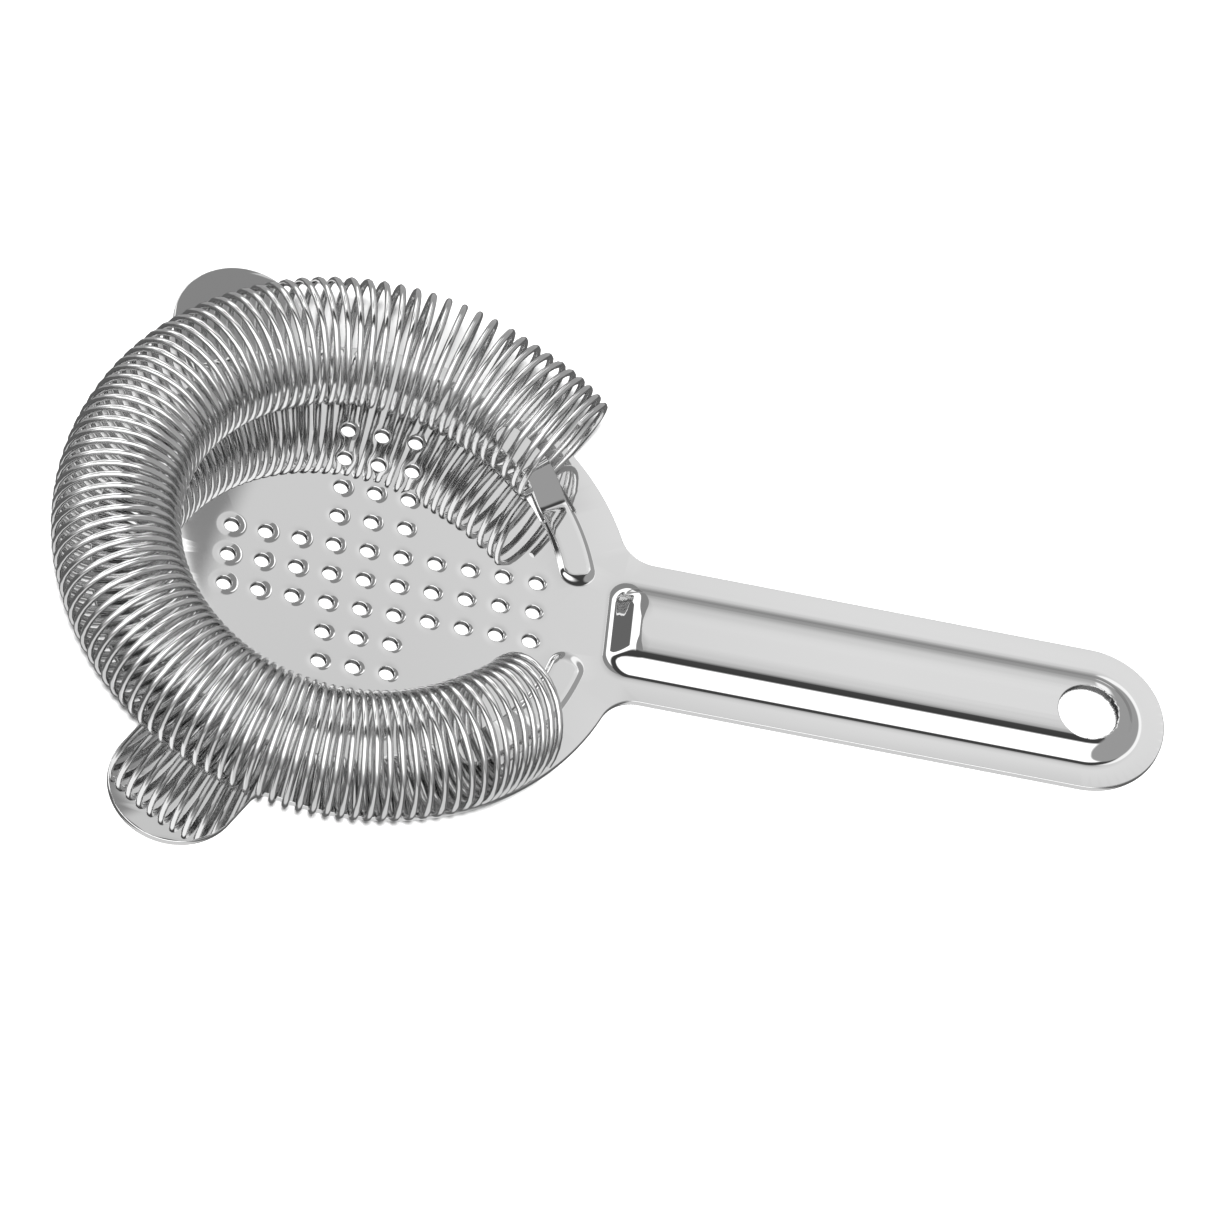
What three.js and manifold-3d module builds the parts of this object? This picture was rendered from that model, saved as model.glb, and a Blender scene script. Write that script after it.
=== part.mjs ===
// A hawthorne strainer: one stamped stainless sheet and one coil spring bent into a loop.
// Millimetres, +Z up. The sheet lies flat with the spring on top and the handle along +X.
// Every shape is drawn from the centre of the round strainer plate; the last lines move the
// finished group so that the origin is under the middle of the object.
import * as THREE from 'three';
import { mergeVertices } from 'three/addons/utils/BufferGeometryUtils.js';
import { ConvexGeometry } from 'three/addons/geometries/ConvexGeometry.js';
import Module from 'manifold-3d';

const wasm = await Module();
wasm.setup();

// ---- driving dimensions ----
const SHEET = 1.0;

const DISC_RADIUS = 39.8;
const EAR_ANGLES = [120, 240];
const EAR_HALF_WIDTH = 9.7;
const EAR_CENTRE = 45.9;
const EAR_FILLET = 3;

const HANDLE_HALF_WIDTH = 11.8;
const HANDLE_CENTRE = 107.3;
const HANDLE_FILLET = 5.5;
const HANG_HOLE_RADIUS = 4.6;

const HOLE_PITCH = 5;
const HOLE_RADIUS = 1.1;
const HOLE_SIDES = 10;
const ROW_COLUMNS = [-4, 5];
const COLUMN_ROWS = [-5, 5];
const CROSS_HALF_WIDTH = 1;

const RIB_START = 35.9;
const RIB_HALF_WIDTH = 7.7;
const RIB_HEIGHT = 2;
const RIB_WALL_RUN = 3.1;
const RIB_END_WALL_RUN = 5.3;
const RIB_CORNER = 3;

const SPRING_CENTRE = [-2.7, -0.7];
const SPRING_PATH_RADIUS = 34.9;
const SPRING_OUTER_RADIUS = 9.35;
const WIRE_RADIUS = 0.45;
const SPRING_START = 42;
const SPRING_END = 319;
const SPRING_TURNS = 99;
const SPRING_GROUPS = 11;
const STEPS_PER_TURN = 8;
const WIRE_SIDES = 5;
const CLEARANCE = 0.3;

// A lug is a raised bead that ends in a tongue cut free of the sheet and bent up into the
// spring. Its angles are measured round the centre of the spring's loop.
const LUG_PATH_RADIUS = 34.6;
const BEAD_HALF_WIDTH = 2.7;
const BEAD_WALL_RUN = 1;
const BEAD_HEIGHT = 0.7;
const BEAD_START = 15;
const BEAD_OVERRUN = 4;
const TONGUE_START = 31;
const RAMP_START = 33.2;
const RAMP_END = 39.5;
const TONGUE_END = 55;
const TONGUE_HALF_WIDTH = 2.3;
const TONGUE_HEIGHT = 4.4;
const SLIT_WIDTH = 0.5;

const radians = THREE.MathUtils.degToRad;

// ---- materials ----
const polishedSheet = new THREE.MeshStandardMaterial({
  color: 0xd6d8da,
  metalness: 1,
  roughness: 0.12,
});

function springWire() {
  return new THREE.MeshStandardMaterial({ color: 0xb4b8bc, metalness: 1, roughness: 0.2 });
}

// ---- solids ----
function toSolid(geometry) {
  const bare = geometry.index ? geometry.toNonIndexed() : geometry.clone();
  bare.deleteAttribute('normal');
  bare.deleteAttribute('uv');
  const merged = mergeVertices(bare, 1e-4);
  return new wasm.Manifold(new wasm.Mesh({
    numProp: 3,
    vertProperties: new Float32Array(merged.attributes.position.array),
    triVerts: new Uint32Array(merged.index.array),
  }));
}

function toGeometry(solid) {
  const mesh = solid.getMesh();
  const geometry = new THREE.BufferGeometry();
  geometry.setAttribute('position', new THREE.BufferAttribute(mesh.vertProperties, 3));
  geometry.setIndex(new THREE.BufferAttribute(mesh.triVerts, 1));
  geometry.computeVertexNormals();
  return geometry;
}

function prism(shape, bottom, height) {
  const geometry = new THREE.ExtrudeGeometry(shape, { depth: height, bevelEnabled: false });
  geometry.translate(0, 0, bottom);
  return toSolid(geometry);
}

// ---- outlines ----
function arc(x, y, radius, from, to, steps) {
  const points = [];
  for (let i = 0; i <= steps; i++) {
    const angle = from + (to - from) * i / steps;
    points.push(new THREE.Vector2(x + radius * Math.cos(angle), y + radius * Math.sin(angle)));
  }
  return points;
}

function circle(x, y, radius, sides) {
  return arc(x, y, radius, 0, 2 * Math.PI * (1 - 1 / sides), sides - 1);
}

// How an arm with parallel sides and a round end leaves the disc: angles in radians.
function armOf(angle, halfWidth, endCentre, fillet) {
  const offset = halfWidth + fillet;
  const reach = Math.sqrt((DISC_RADIUS + fillet) ** 2 - offset ** 2);
  return { angle: radians(angle), halfWidth, endCentre, fillet, offset, reach,
    half: Math.atan2(offset, reach) };
}

function armOutline(arm) {
  const right = Math.PI / 2;
  const place = (along, across) => [
    along * Math.cos(arm.angle) - across * Math.sin(arm.angle),
    along * Math.sin(arm.angle) + across * Math.cos(arm.angle),
  ];
  const back = arm.angle + Math.PI;
  return [
    ...arc(...place(arm.reach, -arm.offset), arm.fillet, back - arm.half, arm.angle + right, 5),
    ...arc(...place(arm.endCentre, 0), arm.halfWidth, arm.angle - right, arm.angle + right, 22),
    ...arc(...place(arm.reach, arm.offset), arm.fillet, back + right, back + arm.half, 5),
  ];
}

function plateOutline() {
  const handle = armOf(0, HANDLE_HALF_WIDTH, HANDLE_CENTRE, HANDLE_FILLET);
  const ears = EAR_ANGLES.map((angle) => armOf(angle, EAR_HALF_WIDTH, EAR_CENTRE, EAR_FILLET));
  const arms = [handle, ...ears];
  const points = [];
  arms.forEach((arm, i) => {
    const next = arms[(i + 1) % arms.length];
    const nextAngle = next.angle + (i + 1 === arms.length ? 2 * Math.PI : 0);
    const rim = arc(0, 0, DISC_RADIUS, arm.angle + arm.half, nextAngle - next.half, 18);
    points.push(...armOutline(arm), ...rim.slice(1, -1));
  });
  return new THREE.Shape(points);
}

// The cross of holes: a wide band of rows along X and a narrow band of columns along Y.
function holeCentres() {
  const centres = [];
  for (let column = ROW_COLUMNS[0]; column <= ROW_COLUMNS[1]; column++) {
    for (let row = COLUMN_ROWS[0]; row <= COLUMN_ROWS[1]; row++) {
      const inRows = Math.abs(row) <= CROSS_HALF_WIDTH;
      const inColumns = Math.abs(column) <= CROSS_HALF_WIDTH;
      if (inRows || inColumns) {
        centres.push([column * HOLE_PITCH, row * HOLE_PITCH]);
      }
    }
  }
  return centres;
}

// A strip along the lug's arc, round at its start and, if wanted, at its end.
function lugStrip(halfWidth, startAngle, endAngle, roundStart, roundEnd) {
  const [x, y] = SPRING_CENTRE;
  const start = radians(startAngle);
  const end = radians(endAngle);
  const capAt = (angle) => [
    x + LUG_PATH_RADIUS * Math.cos(angle),
    y + LUG_PATH_RADIUS * Math.sin(angle),
  ];
  const points = [...arc(x, y, LUG_PATH_RADIUS + halfWidth, start, end, 8)];
  if (roundEnd) {
    points.push(...arc(...capAt(end), halfWidth, end, end + Math.PI, 8).slice(1, -1));
  }
  points.push(...arc(x, y, LUG_PATH_RADIUS - halfWidth, end, start, 8));
  if (roundStart) {
    points.push(...arc(...capAt(start), halfWidth, start + Math.PI, start + 2 * Math.PI, 8)
      .slice(1, -1));
  }
  return new THREE.Shape(points);
}

// ---- the rib pressed up along the handle ----
function ribOutline(inset, endInset, z) {
  const half = RIB_HALF_WIDTH - inset;
  const start = RIB_START + endInset;
  const corner = Math.min(RIB_CORNER, half);
  const flat = [
    ...arc(HANDLE_CENTRE, 0, half, -Math.PI / 2, Math.PI / 2, 16),
    ...arc(start + corner, half - corner, corner, Math.PI / 2, Math.PI, 5),
    ...arc(start + corner, corner - half, corner, Math.PI, 1.5 * Math.PI, 5),
  ];
  return flat.map((point) => new THREE.Vector3(point.x, point.y, z));
}

function ribBlock(foot, top) {
  return toSolid(new ConvexGeometry([
    ...ribOutline(0, 0, foot - SHEET / 2),
    ...ribOutline(0, 0, foot),
    ...ribOutline(RIB_WALL_RUN, RIB_END_WALL_RUN, top),
  ]));
}

// ---- the lugs that hold the ends of the spring ----
function beadBlock(middle) {
  const strip = lugStrip(BEAD_HALF_WIDTH, BEAD_START, TONGUE_START + BEAD_OVERRUN, true, false);
  const geometry = new THREE.ExtrudeGeometry(strip, {
    depth: 0.01,
    bevelThickness: BEAD_HEIGHT,
    bevelSize: BEAD_WALL_RUN,
    bevelOffset: -BEAD_WALL_RUN,
    bevelSegments: 2,
  });
  geometry.translate(0, 0, middle);
  return toSolid(geometry);
}

// The tongue seen from the side, drawn along the arc and lifted in a ramp.
function tongueProfile() {
  const middle = radians((TONGUE_START + TONGUE_END) / 2);
  const along = (angle) => LUG_PATH_RADIUS * Math.sin(radians(angle) - middle);
  const low = BEAD_HEIGHT;
  const high = TONGUE_HEIGHT;
  const line = [
    [along(TONGUE_START - 2), low],
    [along(RAMP_START), low],
    [along(RAMP_END), high],
    [along(TONGUE_END + 8), high],
  ];
  const top = line.map(([s, z]) => new THREE.Vector2(s, z + SHEET));
  const under = line.map(([s, z]) => new THREE.Vector2(s, z));
  const shape = new THREE.Shape([...under, ...top.reverse()]);
  const geometry = new THREE.ExtrudeGeometry(shape, { depth: 40, bevelEnabled: false });
  geometry.rotateX(Math.PI / 2);
  geometry.rotateZ(middle + Math.PI / 2);
  const reach = LUG_PATH_RADIUS - 20;
  geometry.translate(
    SPRING_CENTRE[0] + reach * Math.cos(middle),
    SPRING_CENTRE[1] + reach * Math.sin(middle),
    0,
  );
  return toSolid(geometry);
}

function cutLug(sheet) {
  const slitHalf = TONGUE_HALF_WIDTH + SLIT_WIDTH;
  const bead = beadBlock(SHEET).trimByPlane([0, 0, 1], SHEET / 2);
  const hollow = beadBlock(0);
  const window = prism(lugStrip(slitHalf, TONGUE_START, TONGUE_END, false, true), -1, 6);
  const plan = lugStrip(TONGUE_HALF_WIDTH, TONGUE_START - 0.2, TONGUE_END, false, true);
  const tongue = prism(plan, 0, 9).intersect(tongueProfile());
  return sheet.add(bead).subtract(hollow).subtract(window).add(tongue);
}

function mirrored(sheet) {
  return sheet.mirror([0, 1, 0]);
}

// ---- the stamped sheet ----
function strainerPlate() {
  const outline = plateOutline();
  for (const [x, y] of holeCentres()) {
    outline.holes.push(new THREE.Path(circle(x, y, HOLE_RADIUS, HOLE_SIDES)));
  }
  let sheet = prism(outline, 0, SHEET);
  sheet = sheet.add(ribBlock(SHEET, SHEET + RIB_HEIGHT)).subtract(ribBlock(0, RIB_HEIGHT));
  const hangHole = new THREE.Shape(circle(HANDLE_CENTRE, 0, HANG_HOLE_RADIUS, 24));
  sheet = sheet.subtract(prism(hangHole, -1, 6));
  sheet = cutLug(sheet);
  sheet = mirrored(cutLug(mirrored(sheet)));
  const plate = new THREE.Mesh(toGeometry(sheet), polishedSheet);
  plate.name = 'strainer_plate';
  return plate;
}

// ---- the spring ----
class CoiledWire extends THREE.Curve {
  constructor(firstTurn, lastTurn) {
    super();
    this.firstTurn = firstTurn;
    this.lastTurn = lastTurn;
    this.arcLengthDivisions = 500;
  }

  getPoint(t, target = new THREE.Vector3()) {
    const turn = this.firstTurn + (this.lastTurn - this.firstTurn) * t;
    const coil = SPRING_OUTER_RADIUS - WIRE_RADIUS;
    const along = radians(SPRING_START + (SPRING_END - SPRING_START) * turn / SPRING_TURNS);
    const round = -2 * Math.PI * turn;
    const reach = SPRING_PATH_RADIUS + coil * Math.cos(round);
    return target.set(
      SPRING_CENTRE[0] + reach * Math.cos(along),
      SPRING_CENTRE[1] + reach * Math.sin(along),
      SHEET + CLEARANCE + SPRING_OUTER_RADIUS + coil * Math.sin(round),
    );
  }
}

function springCoils(index) {
  const turns = SPRING_TURNS / SPRING_GROUPS;
  const halfGap = CLEARANCE / 2 / (2 * Math.PI * SPRING_OUTER_RADIUS);
  const wire = new CoiledWire(index * turns + halfGap, (index + 1) * turns - halfGap);
  const section = new THREE.Shape(circle(0, 0, WIRE_RADIUS, WIRE_SIDES));
  const geometry = new THREE.ExtrudeGeometry(section, {
    steps: turns * STEPS_PER_TURN,
    extrudePath: wire,
  });
  const coils = new THREE.Mesh(toGeometry(toSolid(geometry)), springWire());
  coils.name = `spring_coils_${String(index + 1).padStart(2, '0')}`;
  return coils;
}

// ---- the strainer ----
const strainer = new THREE.Group();
strainer.add(strainerPlate());
for (let index = 0; index < SPRING_GROUPS; index++) {
  strainer.add(springCoils(index));
}

const bounds = new THREE.Box3().setFromObject(strainer);
const middle = bounds.getCenter(new THREE.Vector3());
strainer.position.set(-middle.x, -middle.y, -bounds.min.z);

export default strainer;
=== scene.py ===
import math

import bmesh
import bpy
from mathutils import Matrix, Vector


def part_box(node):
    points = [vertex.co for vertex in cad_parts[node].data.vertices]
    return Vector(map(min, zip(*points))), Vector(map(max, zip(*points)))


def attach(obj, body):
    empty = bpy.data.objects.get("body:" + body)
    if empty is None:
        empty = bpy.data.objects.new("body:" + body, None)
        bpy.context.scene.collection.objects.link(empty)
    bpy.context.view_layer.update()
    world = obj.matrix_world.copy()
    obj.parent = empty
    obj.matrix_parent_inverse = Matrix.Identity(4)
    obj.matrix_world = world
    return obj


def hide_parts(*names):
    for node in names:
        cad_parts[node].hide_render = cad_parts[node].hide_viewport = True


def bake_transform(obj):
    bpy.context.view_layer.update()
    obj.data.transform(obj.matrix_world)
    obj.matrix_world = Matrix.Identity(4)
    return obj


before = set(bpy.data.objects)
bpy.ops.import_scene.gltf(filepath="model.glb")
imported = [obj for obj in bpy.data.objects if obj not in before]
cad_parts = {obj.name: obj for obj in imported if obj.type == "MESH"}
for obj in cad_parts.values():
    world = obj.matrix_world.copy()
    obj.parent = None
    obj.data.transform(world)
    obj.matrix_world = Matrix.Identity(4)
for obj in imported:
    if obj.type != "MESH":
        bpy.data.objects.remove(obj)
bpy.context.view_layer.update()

bl_info = {
    "name": "Hawthorne Strainer",
    "version": (1, 0, 0),
    "blender": (4, 5, 0),
    "location": "3D View > Sidebar > Strainer",
    "description": "Builds a polished bar strainer with a coil spring round a perforated plate",
    "category": "Add Mesh",
}

MM = 0.001
PLATE_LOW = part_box("strainer_plate")[0]
SPRING_NODES = [f"spring_coils_{number:02d}" for number in range(1, 12)]
DISC_RADIUS = 39.8
# The centre of the round plate, from which every outline is drawn, in millimetres.
DISC_X = PLATE_LOW[0] / MM + DISC_RADIUS
PLATE_BODY = "plate"


# ---------------------------------------------------------------- settings


class PlateSettings(bpy.types.PropertyGroup):
    """Sizes of the stamped sheet, in metres."""

    thickness: bpy.props.FloatProperty(
        name="Sheet Thickness",
        description="Thickness of the stainless sheet",
        default=0.001,
        unit="LENGTH",
    )
    hole_radius: bpy.props.FloatProperty(
        name="Drain Hole Radius",
        description="Radius of each drain hole",
        default=0.0011,
        unit="LENGTH",
    )
    dish_radius: bpy.props.FloatProperty(
        name="Dish Radius",
        description="Radius of the shallow dish that the punch leaves round each drain hole",
        default=0.0023,
        unit="LENGTH",
    )
    dish_depth: bpy.props.FloatProperty(
        name="Dish Depth",
        description="Depth of that dish at the edge of the hole",
        default=0.00002,
        unit="LENGTH",
    )
    edge_radius: bpy.props.FloatProperty(
        name="Edge Radius",
        description="Rounding of the tumbled sheet edges",
        default=0.00014,
        unit="LENGTH",
    )


class SpringSettings(bpy.types.PropertyGroup):
    """Sizes of the coil spring, in metres."""

    wire_radius: bpy.props.FloatProperty(
        name="Wire Radius",
        description="Radius of the spring wire",
        default=0.0005,
        unit="LENGTH",
    )
    coil_radius: bpy.props.FloatProperty(
        name="Coil Radius",
        description="Outer radius of the coils",
        default=0.00935,
        unit="LENGTH",
    )
    loop_radius: bpy.props.FloatProperty(
        name="Loop Radius",
        description="Radius of the loop that the middle of the spring follows",
        default=0.0349,
        unit="LENGTH",
    )


class FinishSettings(bpy.types.PropertyGroup):
    """Colours of the metal and the studio."""

    sheet_colour: bpy.props.FloatVectorProperty(
        name="Sheet Colour",
        description="Reflection colour of the polished sheet",
        subtype="COLOR",
        size=3,
        default=(0.62, 0.62, 0.62),
        min=0,
        max=1,
    )
    wire_colour: bpy.props.FloatVectorProperty(
        name="Wire Colour",
        description="Reflection colour of the drawn wire",
        subtype="COLOR",
        size=3,
        default=(0.62, 0.62, 0.62),
        min=0,
        max=1,
    )
    floor_colour: bpy.props.FloatVectorProperty(
        name="Floor Colour",
        description="Colour of the studio floor",
        subtype="COLOR",
        size=3,
        default=(0.3, 0.3, 0.3),
        min=0,
        max=1,
    )


# ---------------------------------------------------------------- mesh tools


def clear_selection():
    """Leaves edit mode and deselects everything."""
    if bpy.context.object and bpy.context.object.mode != "OBJECT":
        bpy.ops.object.mode_set(mode="OBJECT")
    bpy.ops.object.select_all(action="DESELECT")


def start_piece(name):
    """An empty mesh in edit mode, ready for primitives."""
    clear_selection()
    bpy.ops.mesh.primitive_circle_add(vertices=3, radius=MM)
    piece = bpy.context.object
    piece.name = name
    piece.data.name = name
    bpy.ops.object.mode_set(mode="EDIT")
    bpy.ops.mesh.select_all(action="SELECT")
    bpy.ops.mesh.delete(type="VERT")
    return piece


def selected_vertices(piece):
    """The mesh in edit mode, which has to be kept while its vertices are used, and those."""
    mesh = bmesh.from_edit_mesh(piece.data)
    mesh.verts.ensure_lookup_table()
    return mesh, [vertex for vertex in mesh.verts if vertex.select]


def select_where(piece, test):
    """Selects the vertices whose place, in millimetres, passes the test."""
    bpy.ops.mesh.select_all(action="DESELECT")
    mesh = bmesh.from_edit_mesh(piece.data)
    for vertex in mesh.verts:
        if test(vertex.co / MM):
            vertex.select = True
    mesh.select_flush(True)
    bmesh.update_edit_mesh(piece.data)


def add_ring(piece, outline):
    """A circle of vertices bent to an outline of points in millimetres."""
    bpy.ops.mesh.select_all(action="DESELECT")
    bpy.ops.mesh.primitive_circle_add(vertices=len(outline), radius=MM)
    mesh, ring = selected_vertices(piece)
    for vertex, point in zip(ring, outline):
        vertex.co = Vector(point) * MM
    bmesh.update_edit_mesh(piece.data)


def pull_ring(piece, old, new):
    """Extrudes the selected ring, which lies on the points old, to the points new."""
    bpy.ops.mesh.extrude_edges_move()
    mesh, ring = selected_vertices(piece)
    places = {tuple(round(value, 4) for value in point): target for point, target in zip(old, new)}
    for vertex in ring:
        here = tuple(round(value / MM, 4) for value in vertex.co)
        vertex.co = Vector(nearest(places, here)) * MM
    bmesh.update_edit_mesh(piece.data)


def nearest(places, here):
    """What belongs to the place that is nearest to here."""
    if here in places:
        return places[here]
    key = min(places, key=lambda place: sum((a - b) ** 2 for a, b in zip(place, here)))
    return places[key]


def apply_modifier(piece, kind, **values):
    """Adds a modifier with its settings and applies it at once."""
    clear_selection()
    piece.select_set(True)
    bpy.context.view_layer.objects.active = piece
    modifier = piece.modifiers.new(kind.title(), kind)
    for name, value in values.items():
        setattr(modifier, name, value)
    bpy.ops.object.modifier_apply(modifier=modifier.name)


# ---------------------------------------------------------------- outlines, in millimetres

SHEET_TOP = 1.0
EAR_ANGLES = (120, 240)
EAR_HALF_WIDTH = 9.7
EAR_CENTRE = 45.9
EAR_FILLET = 2.6
HANDLE_HALF_WIDTH = 11.8
HANDLE_CENTRE = 107.3
HANDLE_FILLET = 5.5
HOLE_PITCH = 5
CROSS_COLUMNS = range(-4, 6)
CROSS_ROWS = range(-5, 6)
CROSS_REACH = 30
HOLE_SIDES = 28
DISH_STEPS = 8
DISH_POWER = 2.5
# A narrow flat ring round each shape keeps the shading of the flat sheet beyond it true.
FLAT_COLLAR = 0.17

RIB_START = 35.4
RIB_HALF_WIDTH = 8.8
RIB_CORNER = 3.4
RIB_TOP_CORNER = 1.6
HANG_HOLE_RADIUS = 4.5

# The lugs follow a circle round the centre of the spring's loop, and their angles are degrees.
SPRING_CENTRE = (-2.7, -0.7)
LUG_RADIUS = 34.6
LUG_ROUND_STEPS = 16
BEAD_HALF_WIDTH = 2.7
BEAD_WALL = 0.8
BEAD_END_WALL = 2.1
BEAD_HEIGHT = 0.4
BEAD_START = 15
BEAD_WALL_STEPS = 8
BEAD_TOP_PLACES = (1.3, 0.6)
BEAD_ROWS = 12
TONGUE_START = 31
TONGUE_FLATTENS_OVER = 4.0
RAMP_START = 34.2
RAMP_END = 42.2
RAMP_BEND = 0.22
TONGUE_END = 52.5
TONGUE_HALF_WIDTH = 2.3
TONGUE_HEIGHT = 3.0
TONGUE_ROWS = 44
TIP_ROWS = 8
TIP_REACH = 0.995
WINDOW_HALF_WIDTH = 2.85
WINDOW_STEPS = 20

# Steps of the round parts of the outlines.
FILLET_STEPS = 14
ARM_END_STEPS = 72
RIM_STEPS = 56
RIB_END_STEPS = 48

# How close points have to be to be merged, to count as flat or to be picked.
MERGE_DISTANCE = 0.002
FLAT_TOLERANCE = 0.0001
SELECT_MARGIN = 0.01
HOLE_WALL_MARGIN = 0.02
# A face whose normal points up or down by less than this is a wall.
STEEP_NORMAL = 0.3


def smooth(value):
    """An even change from 0 to 1 that starts and ends gently."""
    value = min(max(value, 0.0), 1.0)
    return value * value * (3 - 2 * value)


def arc(x, y, radius, start, end, steps, z=SHEET_TOP):
    """Points along an arc, from one angle to another."""
    angles = [start + (end - start) * step / steps for step in range(steps + 1)]
    return [(x + radius * math.cos(angle), y + radius * math.sin(angle), z) for angle in angles]


def arm_outline(angle, half_width, end_centre, fillet):
    """The outline of an arm with a round end, and half the angle that it takes of the disc."""
    offset = half_width + fillet
    reach = math.sqrt((DISC_RADIUS + fillet) ** 2 - offset**2)
    half = math.atan2(offset, reach)
    across = math.pi / 2
    turn = Matrix.Rotation(angle, 2)
    near = turn @ Vector((reach, -offset))
    far = turn @ Vector((reach, offset))
    end = turn @ Vector((end_centre, 0))
    back = angle + math.pi
    points = arc(near.x, near.y, fillet, back - half, angle + across, FILLET_STEPS)
    points += arc(end.x, end.y, half_width, angle - across, angle + across, ARM_END_STEPS)
    points += arc(far.x, far.y, fillet, back + across, back + half, FILLET_STEPS)
    return points, half


def sheet_outline():
    """The edge of the whole sheet: the handle, the ears and the rim between them."""
    arms = [(0, HANDLE_HALF_WIDTH, HANDLE_CENTRE, HANDLE_FILLET)]
    for angle in EAR_ANGLES:
        arms.append((math.radians(angle), EAR_HALF_WIDTH, EAR_CENTRE, EAR_FILLET))
    points = []
    for number, arm in enumerate(arms):
        outline, half = arm_outline(*arm)
        following = arms[(number + 1) % len(arms)]
        next_angle = following[0] + (2 * math.pi if number + 1 == len(arms) else 0)
        next_half = arm_outline(*following)[1]
        rim = arc(0, 0, DISC_RADIUS, arm[0] + half, next_angle - next_half, RIM_STEPS)
        points += outline + rim[1:-1]
    return points


def hole_places():
    """The middles of the drain holes, which form a cross three holes wide."""
    places = []
    for column in CROSS_COLUMNS:
        for row in CROSS_ROWS:
            if abs(row) <= 1 or abs(column) <= 1:
                places.append((column * HOLE_PITCH, row * HOLE_PITCH))
    return places


# A wall of the rib climbs in three parts: a bend at its foot whose slope grows by a power to
# the steepest one, a stretch at that slope, and a long roll onto the crowned top. The roll of
# a side wall dies away over a length, and that of an end wall straightens evenly.
SIDE_WALL = {"foot": 2.0, "power": 2.4, "steep": 0.35, "slope": 1.0, "roll": 0.96}
END_WALL = {"foot": 1.85, "power": 2.2, "steep": 0.45, "slope": 0.7, "even_roll": 3.4}
SIDE_INSETS = (
    0, 0.4, 0.7, 0.95, 1.15, 1.35, 1.55, 1.75, 2.0, 2.35, 2.55, 2.75,
    2.95, 3.2, 3.45, 3.75, 4.1, 4.5, 5.0, 5.6, 6.3, 7.1,
)


def wall_height(wall, inset):
    """Height of a wall at a distance in from its foot."""
    foot = min(inset, wall["foot"])
    grow = wall["power"] + 1
    height = wall["slope"] * wall["foot"] / grow * (foot / wall["foot"]) ** grow
    height += wall["slope"] * min(max(inset - wall["foot"], 0.0), wall["steep"])
    rolled = max(inset - wall["foot"] - wall["steep"], 0.0)
    if "even_roll" in wall:
        rolled = min(rolled, wall["even_roll"])
        return height + wall["slope"] * (rolled - rolled**2 / (2 * wall["even_roll"]))
    return height + wall["slope"] * wall["roll"] * (1 - math.exp(-rolled / wall["roll"]))


def end_inset(side_inset):
    """How far in the end wall reaches the share of its height that the side wall has here."""
    share = wall_height(SIDE_WALL, side_inset) / wall_height(SIDE_WALL, RIB_HALF_WIDTH)
    low, high = 0.0, RIB_HALF_WIDTH
    for _ in range(30):
        middle = (low + high) / 2
        if wall_height(END_WALL, middle) < share * wall_height(END_WALL, RIB_HALF_WIDTH):
            low = middle
        else:
            high = middle
    return low


def rib_outline(inset):
    """The rib's outline at a distance in from the foot of its side walls."""
    height = wall_height(SIDE_WALL, max(inset, 0.0))
    z = SHEET_TOP + height
    share = height / wall_height(SIDE_WALL, RIB_HALF_WIDTH)
    half = RIB_HALF_WIDTH - inset
    corner = min(RIB_CORNER + (RIB_TOP_CORNER - RIB_CORNER) * share, half)
    start = RIB_START + (end_inset(inset) if inset > 0 else inset)
    x = start + corner
    points = arc(HANDLE_CENTRE, 0, half, -math.pi / 2, math.pi / 2, RIB_END_STEPS, z)
    points += arc(x, half - corner, corner, math.pi / 2, math.pi, FILLET_STEPS, z)
    points += arc(x, corner - half, corner, math.pi, 1.5 * math.pi, FILLET_STEPS, z)
    return points


# ---------------------------------------------------------------- the stamped sheet


def hole_ring(radius, z):
    """A closed ring of points round the middle of the disc."""
    last = 2 * math.pi * (1 - 1 / HOLE_SIDES)
    return arc(0, 0, radius, 0, last, HOLE_SIDES - 1, z)


def add_rings(piece, rings):
    """Draws a skin out of one ring after another."""
    add_ring(piece, rings[0])
    for old, new in zip(rings, rings[1:]):
        pull_ring(piece, old, new)


def add_drain_holes(piece, settings):
    """One dished hole, made once and copied to the other places of the cross."""
    rim = settings.hole_radius / MM
    dish = settings.dish_radius / MM
    depth = settings.dish_depth / MM
    outside = dish + FLAT_COLLAR
    rings = [hole_ring(outside, SHEET_TOP)]
    for step in range(DISH_STEPS + 1):
        share = step / DISH_STEPS
        sunk = depth * share**DISH_POWER
        rings.append(hole_ring(dish + (rim - dish) * share, SHEET_TOP - sunk))
    add_rings(piece, rings)
    select_where(piece, lambda place: place.xy.length < outside + SELECT_MARGIN)
    here = (0, 0)
    for place in hole_places():
        if place != (0, 0):
            step = ((place[0] - here[0]) * MM, (place[1] - here[1]) * MM, 0)
            bpy.ops.mesh.duplicate_move(TRANSFORM_OT_translate={"value": step})
            here = place


def add_rib(piece):
    """The rib of the handle, drawn up from its foot and closed over its top."""
    add_rings(piece, [rib_outline(inset) for inset in (-FLAT_COLLAR, *SIDE_INSETS)])
    bpy.ops.mesh.edge_face_add()


def bead_profile():
    """Half the lug's bead seen across its length, as distances from its middle and heights."""
    points = []
    for step in range(BEAD_WALL_STEPS + 1):
        share = step / BEAD_WALL_STEPS
        points.append((BEAD_HALF_WIDTH - BEAD_WALL * share, BEAD_HEIGHT * smooth(share)))
    return points + [(across, BEAD_HEIGHT) for across in BEAD_TOP_PLACES]


def tongue_profile():
    """The part of half the bead's profile that goes on as the tongue."""
    edge = TONGUE_HALF_WIDTH + SELECT_MARGIN
    return [point for point in bead_profile() if point[0] <= edge]


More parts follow.
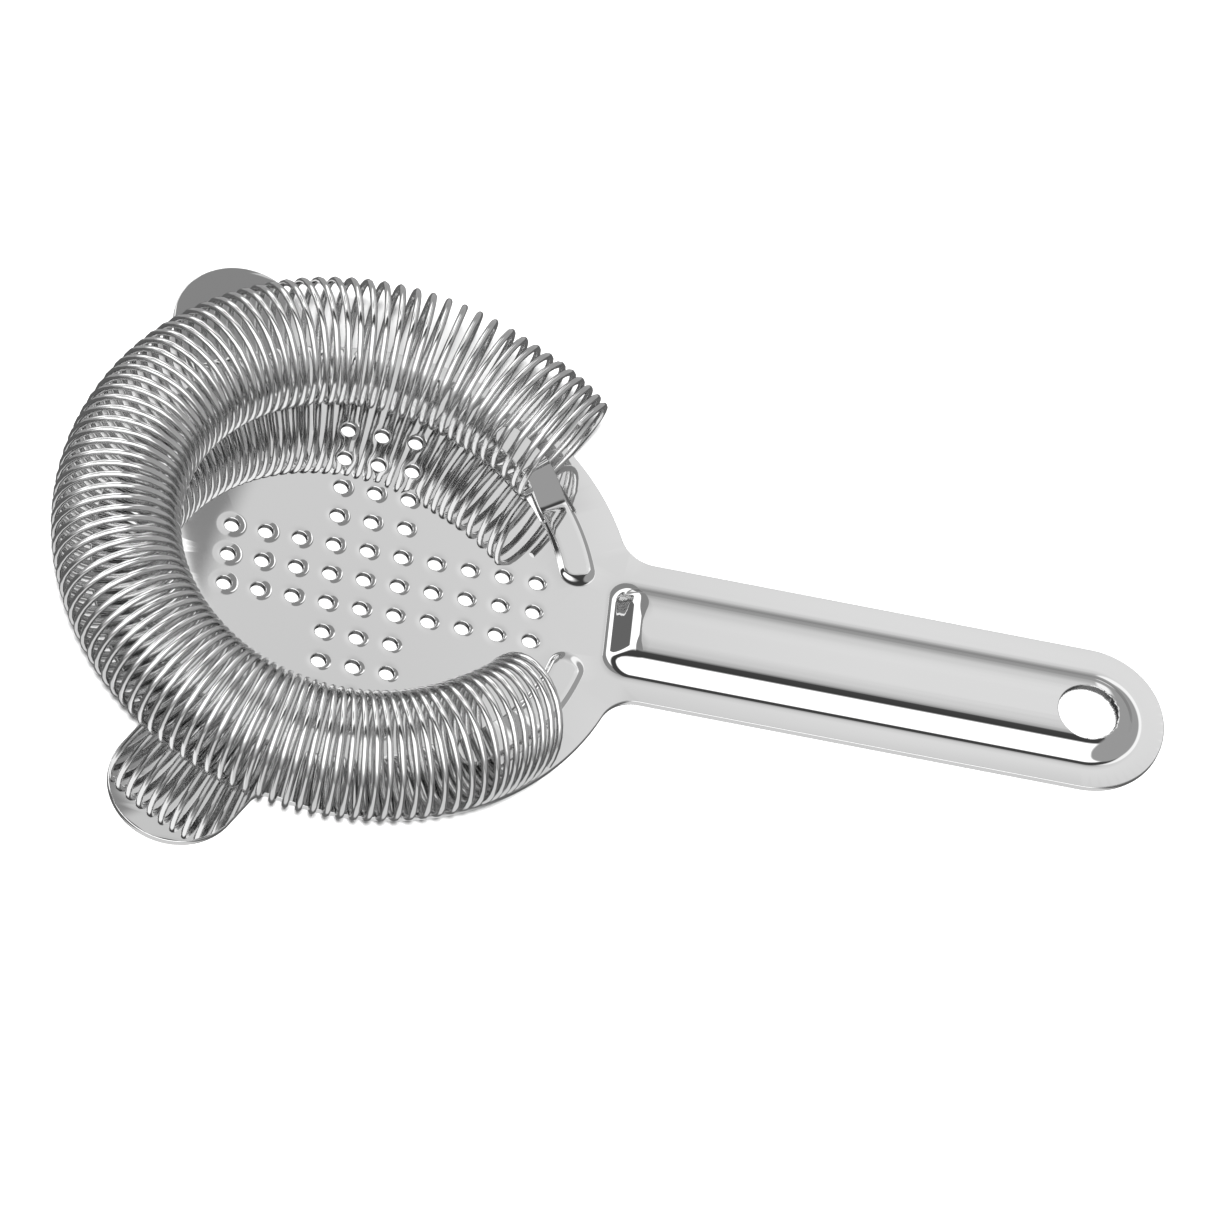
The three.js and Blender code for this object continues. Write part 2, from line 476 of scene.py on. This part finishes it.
def lug_point(angle, across, height):
    """A point of a lug by its angle, its place across the lug and its height on the sheet."""
    x, y = SPRING_CENTRE
    reach = LUG_RADIUS + across
    return (
        x + reach * math.cos(angle),
        y + reach * math.sin(angle),
        SHEET_TOP + height,
    )


def full_profile(half_profile):
    """The points of half a profile, from one edge over the middle to the other."""
    outer = [(across, height) for across, height in half_profile]
    inner = [(-across, height) for across, height in reversed(half_profile)]
    return outer + [(0.0, BEAD_HEIGHT)] + inner


def add_strip(piece, profile, placed, rows):
    """A grid bent to rows of a profile that lie side by side."""
    bpy.ops.mesh.select_all(action="DESELECT")
    bpy.ops.mesh.primitive_grid_add(
        x_subdivisions=len(profile) - 1,
        y_subdivisions=len(rows) - 1,
        size=10 * MM,
    )
    mesh, grid = selected_vertices(piece)
    grid.sort(key=lambda vertex: (round(vertex.co.y / MM, 3), round(vertex.co.x / MM, 3)))
    targets = [placed(row, *point) for row in rows for point in profile]
    for vertex, target in zip(grid, targets):
        vertex.co = Vector(target) * MM
    bmesh.update_edit_mesh(piece.data)


def add_bead_end(piece):
    """The closed round end of the bead, whose wall is longest right at the end."""
    start = math.radians(BEAD_START)
    x, y, _ = lug_point(start, 0, 0)
    flat = BEAD_HALF_WIDTH - BEAD_WALL

    def placed(turn, across, height):
        angle = start - turn
        share = (BEAD_HALF_WIDTH - across) / BEAD_WALL if across > flat else across / flat
        reach = across - (BEAD_END_WALL - BEAD_WALL) * math.sin(turn) * share
        return (x + reach * math.cos(angle), y + reach * math.sin(angle), SHEET_TOP + height)

    rows = [math.pi * step / LUG_ROUND_STEPS for step in range(LUG_ROUND_STEPS + 1)]
    add_strip(piece, bead_profile() + [(0.0, BEAD_HEIGHT)], placed, rows)


def even_rows(start, end, steps):
    """Angles in radians at even steps between two angles in degrees."""
    span = math.radians(end - start)
    return [math.radians(start) + span * step / steps for step in range(steps + 1)]


def ramp_height(angle):
    """Height of the tongue over the bead, with a short bend at both ends of the ramp."""
    degrees = math.degrees(angle)
    rise = TONGUE_HEIGHT - BEAD_HEIGHT
    bend = RAMP_BEND
    share = (degrees - RAMP_START) / (RAMP_END - RAMP_START)
    if share <= -bend:
        return 0.0
    if share < bend:
        return rise * (share + bend) ** 2 / (4 * bend)
    if share < 1 - bend:
        return rise * share
    if share < 1 + bend:
        return rise * (1 - (1 + bend - share) ** 2 / (4 * bend))
    return rise


def add_tongue(piece):
    """The tongue runs on from the bead, flattens out and climbs into the spring."""

    def placed(angle, across, height):
        degrees = math.degrees(angle)
        flat = smooth((degrees - TONGUE_START) / TONGUE_FLATTENS_OVER)
        level = height + (BEAD_HEIGHT - height) * flat
        x, y, z = lug_point(angle, across, level)
        return (x, y, z + ramp_height(angle))

    rows = even_rows(TONGUE_START, TONGUE_END, TONGUE_ROWS)
    add_strip(piece, full_profile(tongue_profile()), placed, rows)


def add_tongue_tip(piece):
    """The round tip of the tongue, as rows that narrow to nothing."""
    end = math.radians(TONGUE_END)

    def placed(turn, across, _height):
        ahead = TONGUE_HALF_WIDTH * math.sin(turn) * TIP_REACH
        narrow = math.sqrt(max(1 - (ahead / TONGUE_HALF_WIDTH) ** 2, 0.0))
        angle = end + ahead / LUG_RADIUS
        return lug_point(angle, across * narrow, TONGUE_HEIGHT)

    rows = even_rows(0, 90, TIP_ROWS)
    add_strip(piece, full_profile(tongue_profile()), placed, rows)


def lug_boundary():
    """Where the sheet stops round the lug: the foot of the bead, then the window."""
    bead = even_rows(BEAD_START, TONGUE_START, BEAD_ROWS)
    window = even_rows(TONGUE_START, TONGUE_END, WINDOW_STEPS)
    half = BEAD_HALF_WIDTH
    wide = WINDOW_HALF_WIDTH
    start = bead[0]
    end = math.radians(TONGUE_END)
    foot = lug_point(start, 0, 0)
    tip = lug_point(end, 0, 0)
    points = [lug_point(angle, half, 0) for angle in bead]
    points += [lug_point(angle, wide, 0) for angle in window]
    points += arc(*tip[:2], wide, end, end + math.pi, LUG_ROUND_STEPS)[1:-1]
    points += [lug_point(angle, -wide, 0) for angle in reversed(window)]
    points += [lug_point(angle, -half, 0) for angle in reversed(bead)]
    points += arc(*foot[:2], half, start + math.pi, start + 2 * math.pi, LUG_ROUND_STEPS)[1:-1]
    return points


def add_lug(piece):
    """One lug at +Y with the edge of the sheet round it."""
    rows = even_rows(BEAD_START, TONGUE_START, BEAD_ROWS)
    add_strip(piece, full_profile(bead_profile()), lug_point, rows)
    add_bead_end(piece)
    add_tongue(piece)
    add_tongue_tip(piece)
    add_ring(piece, lug_boundary())


def mirror_lug():
    """Copies the lug and its boundary to -Y."""
    bpy.ops.mesh.select_all(action="SELECT")
    bpy.ops.mesh.duplicate()
    bpy.ops.transform.resize(value=(1, -1, 1), center_override=(0, 0, 0))


def make_sheet_surface(piece, settings):
    """The top skin of the sheet: lugs, holes and rib, and the flat metal between them."""
    add_lug(piece)
    mirror_lug()
    add_drain_holes(piece, settings)
    add_rib(piece)
    add_ring(piece, sheet_outline())
    bpy.ops.mesh.select_all(action="SELECT")
    bpy.ops.mesh.remove_doubles(threshold=MERGE_DISTANCE * MM)
    fill_flat_metal(piece)


def is_flat(edge):
    """Whether an edge lies in the plane of the sheet's top."""
    return all(abs(vertex.co.z / MM - SHEET_TOP) < FLAT_TOLERANCE for vertex in edge.verts)


def fill_flat_metal(piece):
    """Fills the flat metal between all the open edges that lie in its plane."""
    bpy.ops.mesh.select_all(action="DESELECT")
    bpy.ops.mesh.select_mode(type="EDGE")
    mesh = bmesh.from_edit_mesh(piece.data)
    for edge in mesh.edges:
        if is_flat(edge) and len(edge.link_faces) < 2:
            edge.select = True
    bmesh.update_edit_mesh(piece.data)
    if bpy.ops.mesh.fill(use_beauty=True) != {"FINISHED"}:
        raise RuntimeError("The flat metal of the sheet could not be filled.")
    bpy.ops.mesh.select_mode(type="VERT")


def thicken_sheet(piece, settings):
    """Draws the skin down by the thickness of the sheet and keeps its underside flat."""
    bpy.ops.mesh.select_all(action="SELECT")
    bpy.ops.mesh.extrude_region_move(
        TRANSFORM_OT_translate={"value": (0, 0, -settings.thickness)}
    )
    select_where(piece, lambda place: place.z < 0)
    bpy.ops.transform.resize(value=(1, 1, 0), center_override=(0, 0, 0))
    bpy.ops.mesh.select_all(action="SELECT")
    bpy.ops.mesh.normals_make_consistent(inside=False)
    bpy.ops.transform.translate(value=(DISC_X * MM, 0, 0))
    bpy.ops.object.mode_set(mode="OBJECT")


def punch_hang_hole(piece):
    """Cuts the hanging hole through the rib with a cylinder."""
    clear_selection()
    bpy.ops.mesh.primitive_cylinder_add(
        vertices=96,
        radius=HANG_HOLE_RADIUS * MM,
        depth=12 * MM,
        location=((DISC_X + HANDLE_CENTRE) * MM, 0, 0),
    )
    punch = bpy.context.object
    clear_selection()
    apply_modifier(piece, "BOOLEAN", operation="DIFFERENCE", solver="EXACT", object=punch)
    bpy.data.objects.remove(punch, do_unlink=True)


def round_edges(piece, settings):
    """Rounds the sharp edges and keeps the shading of the flat metal true."""
    apply_modifier(
        piece,
        "BEVEL",
        width=settings.edge_radius,
        segments=2,
        limit_method="ANGLE",
        angle_limit=math.radians(55),
        use_clamp_overlap=False,
    )
    piece.select_set(True)
    bpy.context.view_layer.objects.active = piece
    bpy.ops.object.shade_smooth_by_angle(angle=math.radians(50), keep_sharp_edges=True)
    apply_modifier(piece, "WEIGHTED_NORMAL", mode="FACE_AREA", weight=100, keep_sharp=True)


def in_a_hole(place, settings):
    """Whether a place, in millimetres, lies on the wall of a drain hole or the hanging hole."""
    x, y = place.x - DISC_X, place.y
    if math.hypot(x - HANDLE_CENTRE, y) < HANG_HOLE_RADIUS + HOLE_WALL_MARGIN:
        return True
    across = x - HOLE_PITCH * round(x / HOLE_PITCH)
    up = y - HOLE_PITCH * round(y / HOLE_PITCH)
    wall = settings.hole_radius / MM + HOLE_WALL_MARGIN
    return math.hypot(x, y) < CROSS_REACH and math.hypot(across, up) < wall


def mark_hole_walls(piece, settings):
    """Gives the walls of the holes the second material, whose darker colour is painted shade."""
    piece.select_set(True)
    bpy.context.view_layer.objects.active = piece
    bpy.ops.object.mode_set(mode="EDIT")
    bpy.ops.mesh.select_mode(type="FACE")
    bpy.ops.mesh.select_all(action="DESELECT")
    mesh = bmesh.from_edit_mesh(piece.data)
    for face in mesh.faces:
        steep = abs(face.normal.z) < STEEP_NORMAL
        face.select = steep and in_a_hole(face.calc_center_median() / MM, settings)
    bmesh.update_edit_mesh(piece.data)
    piece.active_material_index = 1
    bpy.ops.object.material_slot_assign()
    bpy.ops.mesh.select_mode(type="VERT")
    bpy.ops.object.mode_set(mode="OBJECT")


def dress(piece, *materials):
    """Gives a piece its materials, the main one first."""
    piece.data.materials.clear()
    for material in materials:
        piece.data.materials.append(material)


class StrainerPlateOperator(bpy.types.Operator):
    """Model the perforated sheet with its ears, lugs and ribbed handle"""

    bl_idname = "strainer.plate"
    bl_label = "Stamped Sheet"

    def execute(self, context):
        settings = context.scene.strainer_plate
        finish = context.scene.strainer_finish
        piece = start_piece("stamped_sheet")
        make_sheet_surface(piece, settings)
        thicken_sheet(piece, settings)
        punch_hang_hole(piece)
        round_edges(piece, settings)
        dress(piece, polished_sheet(finish), punched_wall_painted_shade(finish))
        mark_hole_walls(piece, settings)
        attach(piece, PLATE_BODY)
        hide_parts("strainer_plate")
        return {"FINISHED"}


# ---------------------------------------------------------------- the spring

# The spring's path, as angles round the centre of its loop. The lugs stretch or press its
# turns together, so up to each of these path angles one turn takes so many degrees.
FAR_END = 39.3
NEAR_END = 319.0
SPACINGS = (
    (41, 2.3),
    (66, 2.95),
    (112, 3.3),
    (215, 2.95),
    (282, 2.66),
    (303, 2.8),
    (NEAR_END, 2.2),
)
# The first stretch ends in a short gap.
KINK_ANGLE = 66
KINK = 1.0
# How the rings at the two ends are turned about the vertical and lean, in degrees, and how
# far the far end stands out, in millimetres. Each change dies away over its path angle.
FAR_TURN = 17.0
FAR_LEAN = 5.0
FAR_TURN_LENGTH = 15.0
FAR_OUTWARD = 1.3
NEAR_TURN = -17.0
NEAR_LEAN = -19.0
END_LENGTH = 24.0
POINTS_PER_TURN = 32
# The wire begins this part of a turn before the first whole ring.
FAR_OVERRUN = 0.25
# The room between the wire and the sheet under it.
SPRING_LIFT = 0.06


def turn_angles():
    """The path angle at the start of each turn, from the far end to the near end."""
    angles = [FAR_END]
    while angles[-1] < NEAR_END:
        here = angles[-1]
        step = next(spacing for end, spacing in SPACINGS if here < end)
        if here < KINK_ANGLE <= here + step:
            step += KINK
        angles.append(here + step)
    return angles


def spring_point(turn, angles, settings):
    """A point of the wire's middle line, in millimetres, after so many turns."""
    coil = (settings.coil_radius - settings.wire_radius) / MM
    number = min(int(turn), len(angles) - 2)
    along = angles[number] + (angles[number + 1] - angles[number]) * (turn - number)
    far = 1 - smooth((along - FAR_END) / END_LENGTH)
    near = 1 - smooth((NEAR_END - along) / END_LENGTH)
    last = 1 - smooth((along - FAR_END) / FAR_TURN_LENGTH)
    reach = settings.loop_radius / MM + FAR_OUTWARD * far
    lean = math.radians(FAR_LEAN * last + NEAR_LEAN * near)
    turned = math.radians(along + FAR_TURN * last + NEAR_TURN * near)
    along = math.radians(along)
    round_coil = -2 * math.pi * turn
    outward = Vector((math.cos(turned), math.sin(turned), 0))
    forward = Vector((math.sin(turned), -math.cos(turned), 0))
    upward = forward * math.sin(lean) + Vector((0, 0, math.cos(lean)))
    height = SHEET_TOP + SPRING_LIFT + settings.wire_radius / MM + coil * math.cos(lean)
    x, y = SPRING_CENTRE
    middle = Vector((DISC_X + x + reach * math.cos(along), y + reach * math.sin(along), height))
    return middle + coil * (outward * math.cos(round_coil) + upward * math.sin(round_coil))


def make_spring(settings):
    """The wire, as a tube along a line that winds round the loop."""
    angles = turn_angles()
    count = int((len(angles) - 1 + FAR_OVERRUN) * POINTS_PER_TURN) + 1
    curve = bpy.data.curves.new("coil_spring", "CURVE")
    curve.dimensions = "3D"
    line = curve.splines.new("POLY")
    line.points.add(count - 1)
    for number, point in enumerate(line.points):
        place = spring_point(number / POINTS_PER_TURN - FAR_OVERRUN, angles, settings) * MM
        point.co = (*place, 1)
    curve.bevel_depth = settings.wire_radius
    curve.bevel_resolution = 3
    curve.use_fill_caps = True
    wire = bpy.data.objects.new("coil_spring", curve)
    bpy.context.collection.objects.link(wire)
    clear_selection()
    wire.select_set(True)
    bpy.context.view_layer.objects.active = wire
    bpy.ops.object.convert(target="MESH")
    wire = bpy.context.object
    bpy.ops.object.shade_smooth_by_angle(angle=math.radians(60))
    return wire


class StrainerSpringOperator(bpy.types.Operator):
    """Wind the coil spring and bend it into its loop"""

    bl_idname = "strainer.spring"
    bl_label = "Coil Spring"

    def execute(self, context):
        wire = make_spring(context.scene.strainer_spring)
        dress(wire, drawn_wire(context.scene.strainer_finish))
        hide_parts(*SPRING_NODES)
        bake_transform(wire)
        return {"FINISHED"}


# ---------------------------------------------------------------- materials


def new_material(name):
    """An empty material with one shader."""
    material = bpy.data.materials.new(name)
    material.use_nodes = True
    nodes = material.node_tree.nodes
    nodes.clear()
    output = nodes.new("ShaderNodeOutputMaterial")
    shader = nodes.new("ShaderNodeBsdfPrincipled")
    material.node_tree.links.new(shader.outputs["BSDF"], output.inputs["Surface"])
    return material, shader


def add_noise(material, scale, detail=3.0, stretch=(1, 1, 1)):
    """Noise on the object's own coordinates, stretched along the axes."""
    nodes, links = material.node_tree.nodes, material.node_tree.links
    place = nodes.new("ShaderNodeTexCoord")
    mapping = nodes.new("ShaderNodeMapping")
    mapping.inputs["Scale"].default_value = stretch
    noise = nodes.new("ShaderNodeTexNoise")
    noise.inputs["Scale"].default_value = scale
    noise.inputs["Detail"].default_value = detail
    links.new(place.outputs["Object"], mapping.inputs["Vector"])
    links.new(mapping.outputs["Vector"], noise.inputs["Vector"])
    return noise


def spread(material, noise, low, high):
    """Maps a noise to a range of values."""
    nodes, links = material.node_tree.nodes, material.node_tree.links
    spreader = nodes.new("ShaderNodeMapRange")
    spreader.inputs["From Min"].default_value = 0.3
    spreader.inputs["From Max"].default_value = 0.7
    spreader.inputs["To Min"].default_value = low
    spreader.inputs["To Max"].default_value = high
    links.new(noise.outputs["Fac"], spreader.inputs["Value"])
    return spreader.outputs["Result"]


def new_metal(name, colour):
    """A bare metal of one reflection colour."""
    material, shader = new_material(name)
    shader.inputs["Base Color"].default_value = (*colour, 1)
    shader.inputs["Metallic"].default_value = 1.0
    return material, shader


def roughen(material, shader, noise, low, high):
    """Lets a noise vary the roughness."""
    links = material.node_tree.links
    links.new(spread(material, noise, low, high), shader.inputs["Roughness"])


def emboss(material, shader, noise, strength, distance):
    """Lets a noise raise the surface by up to a distance in metres."""
    links = material.node_tree.links
    bump = material.node_tree.nodes.new("ShaderNodeBump")
    bump.inputs["Strength"].default_value = strength
    bump.inputs["Distance"].default_value = distance
    links.new(noise.outputs["Fac"], bump.inputs["Height"])
    links.new(bump.outputs["Normal"], shader.inputs["Normal"])


def polished_sheet(finish):
    """Mirror-polished stainless sheet with faint haze and hairline marks."""
    material, shader = new_metal("polished_sheet", finish.sheet_colour)
    roughen(material, shader, add_noise(material, 60.0, 4.0), 0.008, 0.02)
    hairlines = add_noise(material, 900.0, 2.0, (0.15, 1.0, 1.0))
    emboss(material, shader, hairlines, 0.05, 0.000001)
    return material


def punched_wall_painted_shade(finish):
    """The torn, unpolished wall that a punch leaves inside a hole: its roughness is real, and its
    colour is darkened as painted shade for the dark that the wall reflects inside the hole.
    """
    # Painted shade: the reflection colour is cut to a quarter of the sheet's so that the hole
    # walls look as dark as the shaded inside of the holes.
    colour = [0.25 * part for part in finish.sheet_colour]
    material, shader = new_metal("punched_wall_painted_shade", colour)
    tears = add_noise(material, 1500.0, 3.0, (1.0, 1.0, 0.3))
    roughen(material, shader, tears, 0.3, 0.5)
    emboss(material, shader, tears, 0.2, 0.0001)
    return material


def drawn_wire(finish):
    """Bright drawn spring wire with fine die lines."""
    material, shader = new_metal("drawn_wire", finish.wire_colour)
    roughen(material, shader, add_noise(material, 250.0, 3.0), 0.09, 0.17)
    emboss(material, shader, add_noise(material, 2500.0, 2.0), 0.05, 0.0001)
    return material


# ---------------------------------------------------------------- the studio

# The camera's place in millimetres from the disc's middle, and the way that its frame lies.
CAMERA_PLACE = (-138.05, -801.45, 1235.36)
CAMERA_RIGHT = (0.97527, 0.09493, 0.19958)
CAMERA_DOWN = (0.18717, -0.83496, -0.5175)
CAMERA_FORWARD = (0.11752, 0.54206, -0.83208)
SENSOR = 36.0
LENS = 301.90213
FLOOR_SIZE = 6
FLOOR_DROP = 0.00005


def make_camera():
    """A long lens that looks down at the strainer from the front."""
    clear_selection()
    bpy.ops.object.camera_add()
    camera = bpy.context.object
    camera.name = "camera"
    right, down, forward = Vector(CAMERA_RIGHT), Vector(CAMERA_DOWN), Vector(CAMERA_FORWARD)
    turn = Matrix((right, -down, -forward)).transposed()
    place = Vector(CAMERA_PLACE) + Vector((DISC_X, 0, 0))
    camera.matrix_world = Matrix.Translation(place * MM) @ turn.to_4x4()
    camera.data.sensor_width = SENSOR
    camera.data.lens = LENS
    camera.data.clip_end = 50
    bpy.context.scene.camera = camera


def make_floor(finish):
    """A plain pale floor just under the sheet, which the metal doesn't reflect."""
    clear_selection()
    bpy.ops.mesh.primitive_plane_add(size=FLOOR_SIZE, location=(0, 0, -FLOOR_DROP))
    floor = bpy.context.object
    floor.name = "floor"
    material, shader = new_material("studio_floor")
    shader.inputs["Base Color"].default_value = (*finish.floor_colour, 1)
    shader.inputs["Roughness"].default_value = 0.9
    floor.data.materials.append(material)
    floor.visible_glossy = False


# The light comes from over the camera, so that its shadows fall behind the strainer.
LIGHT_FROM = (-0.09, -0.44, 0.9)
LIGHT_STRENGTH = 15
LIGHT_SPREAD = 8


def make_overhead_light():
    """A strong light that keeps the open floor white but not the floor under the spring."""
    clear_selection()
    bpy.ops.object.light_add(type="SUN", location=(0, 0, 1))
    light = bpy.context.object
    light.name = "overhead_light"
    light.data.energy = LIGHT_STRENGTH
    light.data.angle = math.radians(LIGHT_SPREAD)
    light.rotation_euler = Vector(LIGHT_FROM).to_track_quat("Z", "Y").to_euler()
    light.visible_glossy = False


# The studio round the strainer, as brightness against the angle up from the horizon at +Y,
# over the top, to the horizon at -Y. The overhead rig leaves a dark gap between two banks.
STUDIO_BANDS = (
    (-6, 0.16),
    (0, 0.45),
    (22, 0.66),
    (47, 1.00),
    (56, 1.15),
    (61, 0.98),
    (65, 0.75),
    (71, 0.08),
    (86, 0.07),
    (96, 2.2),
    (150, 2.2),
    (160, 0.8),
    (176, 0.4),
)
# The rise at which flat metal shows the studio to the camera.
FLAT_RISE = 57.0


class SkyNodes:
    """Small helpers that write arithmetic as nodes of the world."""

    def __init__(self, tree):
        self.tree = tree

    def feed(self, node, *values):
        """Gives a node's inputs their links or their plain values."""
        for socket, value in zip(node.inputs, values):
            if isinstance(value, bpy.types.NodeSocket):
                self.tree.links.new(value, socket)
            else:
                socket.default_value = value

    def math(self, operation, first, second=0.0):
        node = self.tree.nodes.new("ShaderNodeMath")
        node.operation = operation
        self.feed(node, first, second)
        return node.outputs[0]

    def step(self, value, start, end, low=0.0, high=1.0):
        """A smooth change from low at start to high at end."""
        node = self.tree.nodes.new("ShaderNodeMapRange")
        node.interpolation_type = "SMOOTHSTEP"
        self.feed(node, value, start, end, low, high)
        return node.outputs["Result"]

    def blend(self, share, first, second):
        """First where share is 0, second where it is 1."""
        kept = self.math("MULTIPLY", first, self.math("SUBTRACT", 1.0, share))
        return self.math("ADD", kept, self.math("MULTIPLY", second, share))

    def inside(self, value, low, high, soft):
        """1 between low and high, with soft edges outside them."""
        rising = self.step(value, low - soft, low)
        falling = self.step(value, high, high + soft, 1.0, 0.0)
        return self.math("MULTIPLY", rising, falling)


def light_bands(sky, rise, side):
    """The bands from front to back, where the main bank is a little dimmer to the left."""
    level = STUDIO_BANDS[0][1]
    for (start, low), (end, high) in zip(STUDIO_BANDS, STUDIO_BANDS[1:]):
        level = sky.math("ADD", level, sky.step(rise, start, end, 0.0, high - low))
    bank = sky.inside(rise, 40.0, 61.0, 10.0)
    dimmer = sky.math("MULTIPLY", bank, sky.step(side, 5.0, 8.5, 0.17, 0.0))
    return sky.math("SUBTRACT", level, dimmer)


def add_grey_stripe(sky, level, rise, side):
    """A grey stripe that slants along the left end of the main bank."""
    slant = sky.math("MULTIPLY", sky.math("SUBTRACT", rise, FLAT_RISE), 0.2)
    edge = sky.math("MAXIMUM", sky.math("SUBTRACT", 4.48, slant), 3.9)
    past_edge = sky.math("SUBTRACT", side, sky.math("MINIMUM", edge, 4.8))
    stripe = sky.step(past_edge, -0.06, 0.12, 1.0, 0.0)
    stripe = sky.math("MULTIPLY", stripe, sky.inside(rise, -2.0, 66.0, 4.0))
    return sky.blend(stripe, level, 0.37)


def add_white_sliver(sky, level, rise, side):
    """A thin white sliver in the grey stripe."""
    lean = sky.math("MULTIPLY", sky.math("SUBTRACT", rise, FLAT_RISE), 0.51)
    past_edge = sky.math("SUBTRACT", side, sky.math("ADD", lean, 4.34))
    sliver = sky.step(past_edge, -0.1, 0.0, 1.0, 0.0)
    sliver = sky.math("MULTIPLY", sliver, sky.step(side, 3.7, 3.9))
    sliver = sky.math("MULTIPLY", sliver, sky.inside(rise, 55.6, 57.3, 0.3))
    return sky.blend(sliver, level, 2.0)


def add_white_wall(sky, level, rise, side):
    """A white wall on the left with a dark doorway in it."""
    wall = sky.inside(side, -64.0, -5.7, 1.5)
    wall = sky.math("MULTIPLY", wall, sky.inside(rise, 8.0, 66.0, 6.0))
    doorway = sky.inside(rise, 33.0, 53.0, 2.0)
    doorway = sky.math("MULTIPLY", doorway, sky.inside(side, -50.0, -27.0, 2.0))
    paint = sky.math("SUBTRACT", 2.0, sky.math("MULTIPLY", doorway, 1.8))
    return sky.blend(wall, level, paint)


def add_side_walls(sky, level, rise, side):
    """A bright strip on the right, and plain grey walls beyond it and at the far left."""
    strip = sky.step(side, 11.5, 14.0)
    strip = sky.math("MULTIPLY", strip, sky.inside(rise, 20.0, 66.0, 6.0))
    level = sky.blend(strip, level, 1.5)
    right = sky.step(side, 19.0, 25.0)
    left = sky.step(side, -72.0, -62.0, 1.0, 0.0)
    return sky.blend(sky.math("ADD", right, left), level, 0.5)


def add_ground(sky, level, rise, side, up):
    """Below the horizon it is grey far away, dark underneath and bright in front."""
    far_floor = sky.math("MULTIPLY", sky.inside(rise, -36.0, 5.0, 3.0), 0.32)
    front = sky.step(rise, -100.0, -88.0, 1.0, 0.0)
    front = sky.math("MULTIPLY", front, sky.inside(side, -25.0, 25.0, 10.0))
    ground = sky.math("ADD", far_floor, 0.16)
    ground = sky.math("ADD", sky.math("MULTIPLY", front, 0.8), ground)
    below = sky.step(up, 0.0, 0.03, 1.0, 0.0)
    return sky.blend(below, level, ground)


def make_world():
    """The studio that the metal reflects, as brightness against direction in degrees."""
    world = bpy.context.scene.world or bpy.data.worlds.new("studio")
    bpy.context.scene.world = world
    world.use_nodes = True
    tree = world.node_tree
    tree.nodes.clear()
    sky = SkyNodes(tree)
    direction = tree.nodes.new("ShaderNodeTexCoord").outputs["Generated"]
    split = tree.nodes.new("ShaderNodeSeparateXYZ")
    tree.links.new(direction, split.inputs[0])
    degrees = 180 / math.pi
    x, y, z = split.outputs
    rise = sky.math("MULTIPLY", sky.math("ARCTAN2", z, y), degrees)
    side = sky.math("MULTIPLY", sky.math("ARCSINE", x), degrees)

    level = light_bands(sky, rise, side)
    level = add_grey_stripe(sky, level, rise, side)
    level = add_white_sliver(sky, level, rise, side)
    level = add_white_wall(sky, level, rise, side)
    level = add_side_walls(sky, level, rise, side)
    level = add_ground(sky, level, rise, side, z)

    background = tree.nodes.new("ShaderNodeBackground")
    output = tree.nodes.new("ShaderNodeOutputWorld")
    tree.links.new(level, background.inputs["Color"])
    tree.links.new(background.outputs[0], output.inputs["Surface"])


class StrainerStageOperator(bpy.types.Operator):
    """Set up the camera, the floor and the studio light"""

    bl_idname = "strainer.stage"
    bl_label = "Studio"

    def execute(self, context):
        make_camera()
        make_floor(context.scene.strainer_finish)
        make_overhead_light()
        make_world()
        scene = context.scene
        scene.view_settings.view_transform = "Standard"
        scene.view_settings.look = "None"
        scene.view_settings.exposure = 0
        scene.view_settings.gamma = 1
        return {"FINISHED"}


# ---------------------------------------------------------------- add-on


class StrainerPanel(bpy.types.Panel):
    """Lists the strainer's pieces and their sizes"""

    bl_idname = "VIEW3D_PT_strainer"
    bl_label = "Hawthorne Strainer"
    bl_space_type = "VIEW_3D"
    bl_region_type = "UI"
    bl_category = "Strainer"

    def draw(self, context):
        layout = self.layout
        for group in ("strainer_plate", "strainer_spring", "strainer_finish"):
            settings = getattr(context.scene, group)
            column = layout.column()
            for name in settings.__annotations__:
                column.prop(settings, name)
        for operator in OPERATORS:
            layout.operator(operator.bl_idname)


OPERATORS = (StrainerPlateOperator, StrainerSpringOperator, StrainerStageOperator)
SETTINGS = {
    "strainer_plate": PlateSettings,
    "strainer_spring": SpringSettings,
    "strainer_finish": FinishSettings,
}


def register():
    """Adds the settings, the operators and the panel to Blender."""
    for settings in SETTINGS.values():
        bpy.utils.register_class(settings)
    for operator in OPERATORS:
        bpy.utils.register_class(operator)
    bpy.utils.register_class(StrainerPanel)
    for name, settings in SETTINGS.items():
        setattr(bpy.types.Scene, name, bpy.props.PointerProperty(type=settings))


def unregister():
    """Takes them out again, in the opposite order."""
    for name in SETTINGS:
        delattr(bpy.types.Scene, name)
    bpy.utils.unregister_class(StrainerPanel)
    for operator in reversed(OPERATORS):
        bpy.utils.unregister_class(operator)
    for settings in reversed(list(SETTINGS.values())):
        bpy.utils.unregister_class(settings)


def main():
    """Builds everything in order."""
    register()
    bpy.ops.strainer.stage()
    bpy.ops.strainer.plate()
    bpy.ops.strainer.spring()


if __name__ == "__main__":
    main()
